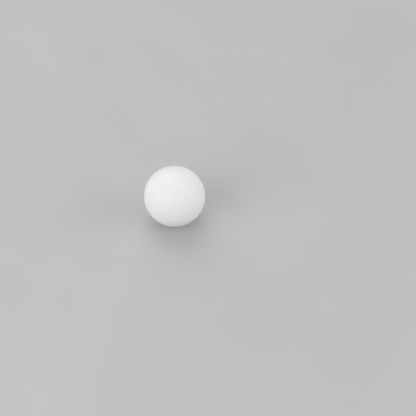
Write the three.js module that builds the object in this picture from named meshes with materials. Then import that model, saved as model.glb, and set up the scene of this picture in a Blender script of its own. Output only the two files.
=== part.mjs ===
// A table tennis ball: two moulded half shells whose rims lap at the equator, and the cement that joins them.
// Millimetres, +Z up. The origin is the ball's centre, and the joint plane is Z = 0.
import * as THREE from "three";

// Driving dimensions, in millimetres.
const BALL_DIAMETER = 40;
const WALL = 0.49; // shell thickness away from the joint
const RIM_THICKENING = 0.31; // how much thicker the shell is at the joint, on the inside
const LAP = 1.2; // how far the lower half's tongue reaches up inside the upper half
const TONGUE_CHAMFER = 0.1; // lead-in on the tongue's outer edge
const CEMENT_FILM = 0.06; // cured cement between the faces of the joint
const BEAD_HEIGHT = 0.6; // cement squeezed out over the end of the tongue, along the bore
const BEAD_DEPTH = 0.15; // how far that bead stands in from the bore

// How finely the round shapes are faceted.
const SECTORS = 56; // around Z, a multiple of 4 so that the ball is its full diameter along X and Y
const ARC_STEP = THREE.MathUtils.degToRad(7.5); // largest step along a meridian
const BEAD_STEPS = 4;

// Radii and heights that follow from them.
const outerRadius = BALL_DIAMETER / 2;
const innerRadius = outerRadius - WALL;
const boreRadius = innerRadius - RIM_THICKENING; // both rims are bored to one cylinder inside
const boreHeight = Math.sqrt(innerRadius ** 2 - boreRadius ** 2); // where the bore runs out into the shell
const lapRadius = (outerRadius + boreRadius) / 2; // the middle of the cement between the lap's leaves
const halfFilm = CEMENT_FILM / 2;
const rimRadius = Math.sqrt(outerRadius ** 2 - halfFilm ** 2); // where the shells' outside meets the cement

// A profile is a list of points: radius is the distance from the ball's axis, height runs along Z.
const point = (radius, height) => new THREE.Vector2(radius, height);

// Points on a circle about the origin, from one latitude to another.
function meridian(radius, fromLatitude, toLatitude) {
  const steps = Math.ceil(Math.abs(toLatitude - fromLatitude) / ARC_STEP);
  return Array.from({ length: steps + 1 }, (_, i) => {
    const latitude = THREE.MathUtils.lerp(fromLatitude, toLatitude, i / steps);
    return point(radius * Math.cos(latitude), radius * Math.sin(latitude));
  });
}

// The upper half's side of the joint, from the outside in: butt face, rebate wall, rebate floor.
const rebateFace = [
  point(rimRadius, halfFilm),
  point(lapRadius + halfFilm, halfFilm),
  point(lapRadius + halfFilm, LAP + halfFilm),
  point(boreRadius, LAP + halfFilm),
];

// The lower half's side of the joint, from the outside in: shoulder, tongue wall, lead-in, tongue end.
const tongueFace = [
  point(rimRadius, -halfFilm),
  point(lapRadius - halfFilm, -halfFilm),
  point(lapRadius - halfFilm, LAP - halfFilm - TONGUE_CHAMFER),
  point(lapRadius - halfFilm - TONGUE_CHAMFER, LAP - halfFilm),
  point(boreRadius, LAP - halfFilm),
];

// Half an ellipse that stands in from the bore over the tongue's end, from its upper end to its lower one.
function beadFace() {
  return Array.from({ length: BEAD_STEPS + 1 }, (_, i) => {
    const turn = (Math.PI * i) / BEAD_STEPS;
    return point(boreRadius - BEAD_DEPTH * Math.sin(turn), LAP + (BEAD_HEIGHT / 2) * Math.cos(turn));
  });
}

// A half shell's profile: its outside, its side of the joint and its inside. side is 1 for the upper half and
// -1 for the lower. Every profile runs with the solid on its left, which turns the lathed faces outwards.
function halfShellProfile(side, jointFace) {
  const pole = (side * Math.PI) / 2;
  const rimLatitude = side * Math.asin(halfFilm / outerRadius);
  const boreLatitude = side * Math.atan2(boreHeight, boreRadius);
  const outside = meridian(outerRadius, pole, rimLatitude).slice(0, -1); // the joint's first point ends it
  const inside = meridian(innerRadius, boreLatitude, pole);
  const profile = [...outside, ...jointFace, ...inside];
  return side > 0 ? profile.reverse() : profile;
}

// The cement fills what the two faces of the joint leave between them, and ends inside in the bead.
function cementProfile() {
  const ring = [...rebateFace, ...beadFace(), ...tongueFace.toReversed()];
  return [...ring, ring[0]];
}

// A solid of revolution about Z.
function turned(name, profile, material) {
  const mesh = new THREE.Mesh(new THREE.LatheGeometry(profile, SECTORS).rotateX(Math.PI / 2), material);
  mesh.name = name;
  return mesh;
}

const shellPlastic = new THREE.MeshStandardMaterial({ color: 0xededec, roughness: 0.55, metalness: 0 });
const curedCement = new THREE.MeshStandardMaterial({ color: 0xe6e2d6, roughness: 0.4, metalness: 0 });

const ball = new THREE.Group();
ball.add(
  turned("upper_half_shell", halfShellProfile(1, rebateFace), shellPlastic),
  turned("lower_half_shell", halfShellProfile(-1, tongueFace), shellPlastic),
  turned("seam_cement", cementProfile(), curedCement),
);

export default ball;
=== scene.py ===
"""A white table tennis ball on a pale floor: two lapped half shells and the cement between them.

Lengths are in metres, +Z is up and the ball's centre is the origin.
"""
from math import acos, atan2, cos, hypot, pi, radians, sin, sqrt, tan

import bpy
from mathutils import Euler, Matrix, Vector


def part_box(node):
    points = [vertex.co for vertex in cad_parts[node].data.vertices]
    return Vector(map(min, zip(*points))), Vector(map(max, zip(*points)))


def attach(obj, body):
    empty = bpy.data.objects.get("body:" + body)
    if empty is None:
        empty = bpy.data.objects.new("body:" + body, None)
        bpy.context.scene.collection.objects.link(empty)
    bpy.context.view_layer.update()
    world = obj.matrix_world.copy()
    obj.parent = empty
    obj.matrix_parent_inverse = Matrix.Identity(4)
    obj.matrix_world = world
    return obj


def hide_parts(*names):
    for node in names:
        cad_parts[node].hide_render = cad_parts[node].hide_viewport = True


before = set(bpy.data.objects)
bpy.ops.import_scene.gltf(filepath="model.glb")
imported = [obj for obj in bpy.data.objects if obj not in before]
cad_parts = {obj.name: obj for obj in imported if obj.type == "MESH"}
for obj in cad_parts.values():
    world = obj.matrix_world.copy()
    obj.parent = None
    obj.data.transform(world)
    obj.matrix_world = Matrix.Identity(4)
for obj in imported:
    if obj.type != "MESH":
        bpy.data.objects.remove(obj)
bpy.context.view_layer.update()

MM = 0.001

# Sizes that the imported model's boxes give.
lower_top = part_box("lower_half_shell")[1]
upper_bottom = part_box("upper_half_shell")[0]
cement_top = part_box("seam_cement")[1]
BALL_RADIUS = lower_top.x
HALF_FILM = upper_bottom.z  # half the thickness of the cement, on each side of the joint plane
LAP = lower_top.z + HALF_FILM  # how far the tongue reaches up inside the upper half
BEAD_HALF_HEIGHT = cement_top.z - LAP

# Sizes that no box shows, the same as the CAD model's.
WALL = 0.49 * MM
RIM_THICKENING = 0.31 * MM
TONGUE_CHAMFER = 0.1 * MM
BEAD_DEPTH = 0.15 * MM

# Finish of the joint, too fine for the CAD model.
RIM_ROUNDING = 0.04 * MM  # edge radius left on each half where the seam was ground and polished
CEMENT_SUNK = 0.016 * MM  # how far the cured cement lies below the ball's surface
CEMENT_DIP = 0.008 * MM  # hollow of the cement's surface between the two rims
# The bead's unevenness, wave by wave: how many go round, the share of the bead's depth, and the phase.
BEAD_WAVES = ((3, 0.10, 0.7), (7, 0.07, 2.1), (16, 0.05, 4.4))

INNER_RADIUS = BALL_RADIUS - WALL
BORE_RADIUS = INNER_RADIUS - RIM_THICKENING
BORE_HEIGHT = sqrt(INNER_RADIUS**2 - BORE_RADIUS**2)
LAP_RADIUS = (BALL_RADIUS + BORE_RADIUS) / 2

# Each half's side of the lap as (radius, height) points, from the wall between the two leaves inwards.
REBATE = [
    (LAP_RADIUS + HALF_FILM, HALF_FILM),
    (LAP_RADIUS + HALF_FILM, LAP + HALF_FILM),
    (BORE_RADIUS, LAP + HALF_FILM),
]
TONGUE = [
    (LAP_RADIUS - HALF_FILM, -HALF_FILM),
    (LAP_RADIUS - HALF_FILM, LAP - HALF_FILM - TONGUE_CHAMFER),
    (LAP_RADIUS - HALF_FILM - TONGUE_CHAMFER, LAP - HALF_FILM),
    (BORE_RADIUS, LAP - HALF_FILM),
]

# Fineness of the meshes.
SIDE = 64  # quads along each side of a dome's square cap
RING = 4 * SIDE  # corners in every ring below the cap
ROUNDING_STEPS = 5
BEAD_STEPS = 12
SUPPORT_ROW = 0.05 * MM  # width of the row beside the rounding, which keeps the dome's shading true
SHARP_ANGLE = radians(30)  # edges that turn more than this aren't shaded smooth

# The texture map laid out for the pieces' patterns. A half shell's two faces lie on it as discs,
# (u, v, radius), and the cement as rows. Both give the narrow faces at the joint more than their real share.
MAP_NAME = "OFBake"
OUTSIDE_DISC = (0.5, 0.5, 0.49)
INSIDE_DISC = (0.08, 0.08, 0.075)
DOME_SHARE = 0.94  # of a disc's radius
MAP_ROWS = 8
ROW_FILL = 0.9  # of a row's height


# ---- Meshes ----

def slopes():
    """The tangents of SIDE + 1 angles, evenly from -45 to 45 degrees."""
    return [tan(radians(90 * i / SIDE - 45)) for i in range(SIDE + 1)]


def square_ring():
    """RING points anticlockwise on a square of half side 1, at equal angles from its centre."""
    along = slopes()[:SIDE]
    right = [(1, s) for s in along]
    back = [(-s, 1) for s in along]
    left = [(-1, -s) for s in along]
    front = [(s, -1) for s in along]
    return right + back + left + front


def mirrored(profile):
    return [(radius, -height) for radius, height in profile]


def turned_point(radius, height, k):
    """A point at a radius and height, in the direction of the k-th corner of a ring."""
    azimuth = 2 * pi * k / RING - pi / 4
    return Vector((radius * cos(azimuth), radius * sin(azimuth), height))


class Skin:
    """Corners and faces of a surface. A side of -1 mirrors it in the joint plane."""

    def __init__(self, side=1):
        self.side = side
        self.corners = []
        self.faces = []
        self.places = []  # on the texture map, of each face's corners in turn

    def add(self, points):
        start = len(self.corners)
        self.corners += [(p.x, p.y, p.z * self.side) for p in points]
        return list(range(start, len(self.corners)))

    def face(self, corners, places=(), facing=1):
        """On side 1 it faces whoever sees its corners run anticlockwise, or clockwise for a facing of -1."""
        self.faces.append(corners[:: facing * self.side])
        self.places += places[:: facing * self.side]

    def ring(self, radius, height):
        return self.add([turned_point(radius, height, k) for k in range(RING)])

    def join(self, rings, place=lambda i, k, step: (0, 0), facing=1):
        """Quads from each ring to the next. Seen with the radius running right and the height up, they face
        left of the way that the rings follow, or right with a facing of -1. place gives the place on the
        texture map of ring i's corner k + step, where k is the quad's first corner and step is 0 or 1."""
        for i, (first, second) in enumerate(zip(rings, rings[1:])):
            for k in range(RING):
                after = (k + 1) % RING
                places = (place(i, k, 0), place(i + 1, k, 0), place(i + 1, k, 1), place(i, k, 1))
                self.face((first[k], second[k], second[after], first[after]), places, facing)

    def on_disc(self, disc, corner, reach=None):
        """A corner's place on a disc of the texture map, at a share of its radius. A dome's corners find
        theirs from their angle to the pole."""
        x, y, z = self.corners[corner]
        if reach is None:
            reach = DOME_SHARE * atan2(hypot(x, y), abs(z)) / (pi / 2)
        azimuth = atan2(y, x)
        u, v, size = disc
        return u + size * reach * cos(azimuth), v + size * reach * sin(azimuth)

    def skirt(self, dome, past, disc, facing):
        """Joins a dome's rings and the rings past it, and lays them out on a disc of the texture map."""
        rings = dome + past

        def place(i, k, step):
            corner = rings[i][(k + step) % RING]
            if i < len(dome):
                return self.on_disc(disc, corner)
            share = (i + 1 - len(dome)) / len(past)
            return self.on_disc(disc, corner, DOME_SHARE + (1 - DOME_SHARE) * share)

        self.join(rings, place, facing)

    def dome(self, radius, latitude, disc, facing):
        """A dome of quads with no point at its pole, down to a latitude. facing is 1 for a dome seen from
        outside and -1 for one seen from inside. Returns its rings, from the square cap's edge down."""

        def placed(x, y, z):
            flat = hypot(x, y)
            raised = latitude + (pi / 2 - latitude) * atan2(z, flat) / (pi / 2)
            spread = radius * cos(raised) / flat if flat else 0
            return Vector((x * spread, y * spread, radius * sin(raised)))

        cap = [self.add([placed(x, y, 1) for y in slopes()]) for x in slopes()]
        for i in range(SIDE):
            for j in range(SIDE):
                corners = (cap[i][j], cap[i + 1][j], cap[i + 1][j + 1], cap[i][j + 1])
                self.face(corners, [self.on_disc(disc, corner) for corner in corners], facing)
        edge = cap[SIDE][:SIDE]
        edge += [cap[i][SIDE] for i in range(SIDE, 0, -1)]
        edge += [cap[0][j] for j in range(SIDE, 0, -1)]
        edge += [cap[i][0] for i in range(SIDE)]
        rows = SIDE // 2
        below = [tan(radians(45 * (1 - row / rows))) for row in range(1, rows + 1)]
        return [edge] + [self.add([placed(x, y, z) for x, y in square_ring()]) for z in below]

    def thing(self, name, material):
        mesh = bpy.data.meshes.new(name)
        mesh.from_pydata(self.corners, [], self.faces)
        mesh.polygons.foreach_set("use_smooth", [True] * len(mesh.polygons))
        mesh.set_sharp_from_angle(angle=SHARP_ANGLE)
        mesh.materials.append(material)
        thing = bpy.data.objects.new(name, mesh)
        bpy.context.scene.collection.objects.link(thing)
        return thing

    def piece(self, name, material):
        thing = self.thing(name, material)
        layer = thing.data.uv_layers.new(name=MAP_NAME)
        layer.uv.foreach_set("vector", [number for place in self.places for number in place])
        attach(thing, "root")
        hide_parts(name.removesuffix("_finished"))
        return thing


def rounding_centre():
    """Radius and height of the upper rim's rounding's centre. It touches the sphere and the butt face."""
    height = HALF_FILM + RIM_ROUNDING
    return sqrt((BALL_RADIUS - RIM_ROUNDING) ** 2 - height**2), height


def rounding(first_turn, last_turn):
    """The rounded outer edge of the upper rim, from one direction about its centre to another."""
    x, z = rounding_centre()
    step = (last_turn - first_turn) / ROUNDING_STEPS
    turns = [first_turn + step * i for i in range(ROUNDING_STEPS + 1)]
    return [(x + RIM_ROUNDING * cos(t), z + RIM_ROUNDING * sin(t)) for t in turns]


# Where the rounding starts on the sphere, and where the cement's surface meets it.
ROUNDING_TOP = atan2(*reversed(rounding_centre()))
CEMENT_TOP = -acos(1 - CEMENT_SUNK / RIM_ROUNDING)


def half_shell(name, side, lap_face, material):
    """The half on one side of the joint plane, 1 or -1. lap_face is its face in the lap, given for side 1."""
    skin = Skin(side)
    outside = skin.dome(BALL_RADIUS, ROUNDING_TOP + SUPPORT_ROW / BALL_RADIUS, OUTSIDE_DISC, 1)
    rim = [skin.ring(*at) for at in rounding(ROUNDING_TOP, -pi / 2) + lap_face]
    inside = skin.dome(INNER_RADIUS, atan2(BORE_HEIGHT, BORE_RADIUS), INSIDE_DISC, -1)
    skin.skirt(outside, rim, OUTSIDE_DISC, 1)
    skin.skirt(inside, rim[-1:], INSIDE_DISC, -1)
    return skin.piece(name, material)


def bead_swell(k):
    """How far the squeezed-out cement swells at the k-th corner of a ring, about 1."""
    turn = 2 * pi * k / RING
    return 1 + sum(share * sin(waves * turn + phase) for waves, share, phase in BEAD_WAVES)


def cement_ring(name, material):
    """The cement in the lap, with its hollow outer face in the seam and its bead inside."""
    skin = Skin()
    rim = rounding(-pi / 2, CEMENT_TOP)
    top_radius, top_height = rim[-1]
    hollow = [pi * i / ROUNDING_STEPS for i in range(1, ROUNDING_STEPS)]
    face = [(top_radius - CEMENT_DIP * sin(t), top_height * cos(t)) for t in hollow]
    rings = [skin.ring(*at) for at in rim + face + mirrored(rim[::-1]) + TONGUE]
    for i in range(BEAD_STEPS + 1):
        turn = pi * i / BEAD_STEPS
        rings.append(skin.add([
            turned_point(
                BORE_RADIUS - BEAD_DEPTH * sin(turn) * bead_swell(k),
                LAP - BEAD_HALF_HEIGHT * cos(turn),
                k,
            )
            for k in range(RING)
        ]))
    rings += [skin.ring(*at) for at in REBATE[::-1]]
    in_row = RING // MAP_ROWS

    def place(i, k, step):
        row, column = divmod(k, in_row)
        return (column + step) / in_row, (row + ROW_FILL * i / len(rings)) / MAP_ROWS

    skin.join(rings + rings[:1], place)
    return skin.piece(name, material)


# ---- Materials ----

# The plastic's surface: the size of its lumps, and how far they stand proud.
SWELL_SIZE, SWELL_HEIGHT = 2.4 * MM, 0.008 * MM
EGGSHELL_SIZE, EGGSHELL_HEIGHT = 0.42 * MM, 0.020 * MM
GRAIN_SIZE, GRAIN_HEIGHT = 0.11 * MM, 0.030 * MM
CLOUD_SIZE = 9 * MM  # of the cloudiness in its colour

# The ground band beside the seam.
BAND_FROM, BAND_BY = 1.1 * MM, 2.3 * MM  # it fades out between these distances from the seam
BAND_WANDER = 0.8 * MM  # how much nearer to the seam its edge may come
LINE_SIZE, LINE_HEIGHT = 0.09 * MM, 0.022 * MM
LINE_STRETCH = (0.12, 0.12, 1.0)  # draws the lines out round the ball
GRAIN_WORN = 0.6  # share of the grain's height that grinding took away

# Handling marks.
MARK_WIDTH = 0.006  # how far the first noise is from its middle value at a mark's edge
MARK_FROM, MARK_BY = 0.6, 0.68  # a mark comes up as the second noise goes from one to the other
MARK_DEPTH = 0.004 * MM

# The cement's surface.
CEMENT_SWELL_SIZE, CEMENT_SWELL_HEIGHT = 0.5 * MM, 0.008 * MM
PIT_SIZE, PIT_DEPTH = 0.16 * MM, 0.003 * MM
PIT_FROM, PIT_BY = 0.66, 0.74  # a pit opens as its noise goes from one to the other


class Nodes:
    """Short calls for building a material's node tree."""

    def __init__(self, name):
        self.material = bpy.data.materials.new(name)
        self.material.use_nodes = True
        self.tree = self.material.node_tree
        self.shader = self.tree.nodes["Principled BSDF"]
        self.place = self.tree.nodes.new("ShaderNodeTexCoord").outputs["Object"]

    def new(self, kind, settings=None, **inputs):
        node = self.tree.nodes.new(kind)
        for key, value in (settings or {}).items():
            setattr(node, key, value)
        for key, value in inputs.items():
            self.put(node, key.replace("_", " "), value)
        return node

    def put(self, node, socket, value):
        if isinstance(value, bpy.types.NodeSocket):
            self.tree.links.new(value, node.inputs[socket])
        else:
            node.inputs[socket].default_value = value

    def noise(self, feature, detail=2.0, roughness=0.5, distortion=0.0, place=None):
        """Noise whose lumps are about feature metres across, from 0 to 1."""
        node = self.new(
            "ShaderNodeTexNoise", Vector=place or self.place, Scale=1 / feature,
            Detail=detail, Roughness=roughness, Distortion=distortion,
        )
        return node.outputs["Fac"]

    def ramp(self, value, low, high, to_low=0.0, to_high=1.0):
        """value from low to high, mapped smoothly to to_low to to_high."""
        settings = {"interpolation_type": "SMOOTHSTEP"}
        node = self.new("ShaderNodeMapRange", settings, Value=value)
        for socket, number in zip(("From Min", "From Max", "To Min", "To Max"), (low, high, to_low, to_high)):
            node.inputs[socket].default_value = number
        return node.outputs["Result"]

    def math(self, operation, *values, kind="ShaderNodeMath"):
        node = self.new(kind, {"operation": operation})
        for socket, value in enumerate(values):
            self.put(node, socket, value)
        return node.outputs[0]

    def vector(self, operation, *values):
        return self.math(operation, *values, kind="ShaderNodeVectorMath")

    def vector_length(self, vector):
        node = self.new("ShaderNodeVectorMath", {"operation": "LENGTH"}, Vector=vector)
        return node.outputs["Value"]

    def blend(self, share, first, second):
        node = self.new("ShaderNodeMix", {"data_type": "RGBA"})
        for socket, value in (("Factor_Float", share), ("A_Color", first), ("B_Color", second)):
            self.put(node, next(i for i, s in enumerate(node.inputs) if s.identifier == socket), value)
        return next(s for s in node.outputs if s.identifier == "Result_Color")

    def bump(self, height, distance, under=None):
        """A bump of height, 0 to 1, standing distance metres proud."""
        node = self.new("ShaderNodeBump", Height=height, Distance=distance, Strength=1.0)
        if under:
            self.put(node, "Normal", under)
        return node.outputs["Normal"]


def grey(value, warmth=0.0):
    """A linear colour, with warmth taking a little blue away."""
    return (value, value * (1 - warmth / 3), value * (1 - warmth), 1)


def shell_plastic():
    """White ABS: matt grain, faint cloudiness, hair-fine handling marks and a ground band at the seam."""
    n = Nodes("shell_plastic")
    height = n.new("ShaderNodeSeparateXYZ", Vector=n.place).outputs["Z"]

    # Each half was moulded by itself, so the cloudiness doesn't run on across the seam.
    half = n.new("ShaderNodeCombineXYZ", X=n.math("SIGN", height)).outputs["Vector"]
    own = n.vector("ADD", n.place, half)
    cloud = n.ramp(n.noise(CLOUD_SIZE, detail=3, roughness=0.6, place=own), 0.3, 0.7)

    # The ground band: lines round the ball that fade out about 1.5 mm from the seam.
    wander = n.math("MULTIPLY", n.noise(3 * MM), BAND_WANDER)
    off_seam = n.math("ADD", n.math("ABSOLUTE", height), wander)
    ground = n.ramp(off_seam, BAND_FROM, BAND_BY, 1.0, 0.0)
    lines = n.noise(LINE_SIZE, detail=3, place=n.vector("MULTIPLY", n.place, LINE_STRETCH))

    # Handling marks: thin contours of a noise, cut into short pieces by another.
    contour = n.math("ABSOLUTE", n.math("SUBTRACT", n.noise(5 * MM, detail=1, distortion=0.6), 0.5))
    where = n.ramp(n.noise(1.9 * MM, detail=1), MARK_FROM, MARK_BY)
    marks = n.math("MULTIPLY", n.ramp(contour, 0.0, MARK_WIDTH, 1.0, 0.0), where)

    white = n.blend(cloud, grey(0.808), grey(0.826))
    ground_white = n.blend(n.math("MULTIPLY", ground, 0.3), white, grey(0.79))
    n.put(n.shader, "Base Color", n.blend(n.math("MULTIPLY", marks, 0.35), ground_white, grey(0.70)))

    grain = n.noise(GRAIN_SIZE, detail=3, roughness=0.6)
    matt = n.ramp(grain, 0.3, 0.7, 0.50, 0.60)
    clouded = n.math("ADD", matt, n.math("MULTIPLY", n.math("SUBTRACT", cloud, 0.5), -0.06))
    rubbed = n.math("MULTIPLY", n.math("MAXIMUM", ground, marks), 0.07)
    n.put(n.shader, "Roughness", n.math("ADD", clouded, rubbed))

    grain_left = n.math("SUBTRACT", 1.0, n.math("MULTIPLY", ground, GRAIN_WORN))
    surface = n.bump(n.noise(SWELL_SIZE), SWELL_HEIGHT)
    surface = n.bump(n.noise(EGGSHELL_SIZE), EGGSHELL_HEIGHT, surface)
    surface = n.bump(n.math("MULTIPLY", grain, grain_left), GRAIN_HEIGHT, surface)
    surface = n.bump(n.math("MULTIPLY", lines, ground), LINE_HEIGHT, surface)
    n.put(n.shader, "Normal", n.bump(marks, -MARK_DEPTH, surface))

    n.shader.inputs["IOR"].default_value = 1.53
    n.shader.inputs["Subsurface Weight"].default_value = 0.2
    n.shader.inputs["Subsurface Radius"].default_value = (1.0, 0.95, 0.85)
    n.shader.inputs["Subsurface Scale"].default_value = 0.6 * MM
    return n.material


def cured_cement():
    """Dried solvent cement: a little yellower and glossier than the plastic, with faint pin holes."""
    n = Nodes("cured_cement")
    cloud = n.ramp(n.noise(1.5 * MM, detail=3), 0.3, 0.7)
    pits = n.ramp(n.noise(PIT_SIZE, detail=1), PIT_FROM, PIT_BY)
    toned = n.blend(cloud, grey(0.66, 0.08), grey(0.74, 0.05))
    n.put(n.shader, "Base Color", n.blend(pits, toned, grey(0.62, 0.10)))
    n.put(n.shader, "Roughness", n.ramp(cloud, 0.0, 1.0, 0.32, 0.45))
    swell = n.bump(n.noise(CEMENT_SWELL_SIZE), CEMENT_SWELL_HEIGHT)
    n.put(n.shader, "Normal", n.bump(pits, -PIT_DEPTH, swell))
    n.shader.inputs["IOR"].default_value = 1.5
    return n.material


def floor_paint():
    """Plain pale floor with a barely visible unevenness, and painted light: paler towards the sweep, where
    less light falls.
    """
    n = Nodes("pale_floor")
    across = n.vector("MULTIPLY", n.place, (1, 1, 0))
    away = n.vector_length(across)
    cloud = n.ramp(n.noise(60 * MM, detail=4), 0.3, 0.7)
    near = n.blend(cloud, grey(0.50), grey(0.515))
    # Painted light: the paint turns paler far from the ball, where less light falls.
    n.put(n.shader, "Base Color", n.blend(n.ramp(away, PALE_FROM, PALE_BY), near, grey(0.86)))
    n.shader.inputs["Roughness"].default_value = 0.75
    n.shader.inputs["Specular IOR Level"].default_value = 0.3
    return n.material


# ---- The ball ----

plastic = shell_plastic()
half_shell("upper_half_shell_finished", 1, REBATE, plastic)
half_shell("lower_half_shell_finished", -1, mirrored(TONGUE), plastic)
cement_ring("seam_cement_finished", cured_cement())


# ---- Floor, light and camera ----

FLOOR_RADIUS = 1.4
FLAT_RINGS = (0.02, 0.1, 0.3, 0.6)  # as shares of the floor's radius
SWEEP_RADIUS = 3.0
SWEEP_RISE, SWEEP_STEP = 36, 3  # degrees of the sweep's arc, and of each step along it
PALE_FROM, PALE_BY = 0.4, 1.8  # painted light: the floor's paint turns paler between these distances from the ball

CAMERA_DISTANCE = 0.918
CAMERA_ELEVATION = radians(41.6)
CAMERA_ROLL = radians(2.0)
AIM_RIGHT, AIM_DOWN = radians(1.37), radians(0.48)  # the ball is left of and above the middle of the picture
SENSOR_MM = 36
LENS_MM = 121.2
CLIP_START, CLIP_END = 0.01, 20

WORLD_STRENGTH = 0.50
LIGHT_DISTANCE = 0.9
LIGHT_WIDTH = 0.8


def make_floor():
    """A plain floor that sweeps up all round, far outside the lights, so no view ends in a hard horizon."""
    sweep = [radians(SWEEP_STEP * i) for i in range(SWEEP_RISE // SWEEP_STEP + 1)]
    profile = [(FLOOR_RADIUS * share, 0) for share in FLAT_RINGS]
    profile += [(FLOOR_RADIUS + SWEEP_RADIUS * sin(t), SWEEP_RADIUS * (1 - cos(t))) for t in sweep]
    skin = Skin()
    rings = [skin.ring(radius, height - BALL_RADIUS) for radius, height in profile]
    skin.join(rings)
    skin.face(rings[0])
    skin.thing("floor", floor_paint())


def soft_box(name, direction, power):
    """A square area light that shines at the ball from a direction."""
    data = bpy.data.lights.new(name, "AREA")
    data.shape = "SQUARE"
    data.size = LIGHT_WIDTH
    data.energy = power
    light = bpy.data.objects.new(name, data)
    back = Vector(direction).normalized()
    light.location = back * LIGHT_DISTANCE
    light.rotation_euler = back.to_track_quat("Z", "Y").to_euler()
    light.visible_camera = False
    bpy.context.scene.collection.objects.link(light)


def make_world():
    world = bpy.data.worlds.new("studio")
    world.use_nodes = True
    world.node_tree.nodes["Background"].inputs["Color"].default_value = (1, 1, 1, 1)
    world.node_tree.nodes["Background"].inputs["Strength"].default_value = WORLD_STRENGTH
    bpy.context.scene.world = world


def make_camera():
    data = bpy.data.cameras.new("camera")
    data.sensor_width = SENSOR_MM
    data.lens = LENS_MM
    data.clip_start = CLIP_START
    data.clip_end = CLIP_END
    camera = bpy.data.objects.new("camera", data)
    back = Vector((0, -cos(CAMERA_ELEVATION), sin(CAMERA_ELEVATION)))
    facing = back.to_track_quat("Z", "Y").to_matrix()
    turned = Euler((-AIM_DOWN, -AIM_RIGHT, 0), "XYZ").to_matrix()
    rotation = facing @ Matrix.Rotation(CAMERA_ROLL, 3, "Z") @ turned
    camera.matrix_world = Matrix.Translation(back * CAMERA_DISTANCE) @ rotation.to_4x4()
    bpy.context.scene.collection.objects.link(camera)
    bpy.context.scene.camera = camera


make_floor()
make_world()
soft_box("key", (-0.70, -0.70, 0.45), 4.7)
soft_box("fill", (1.0, -0.2, 0.25), 4.15)
soft_box("back", (-0.2, 0.6, 0.8), 2.9)
make_camera()
bpy.context.scene.view_settings.view_transform = "Standard"
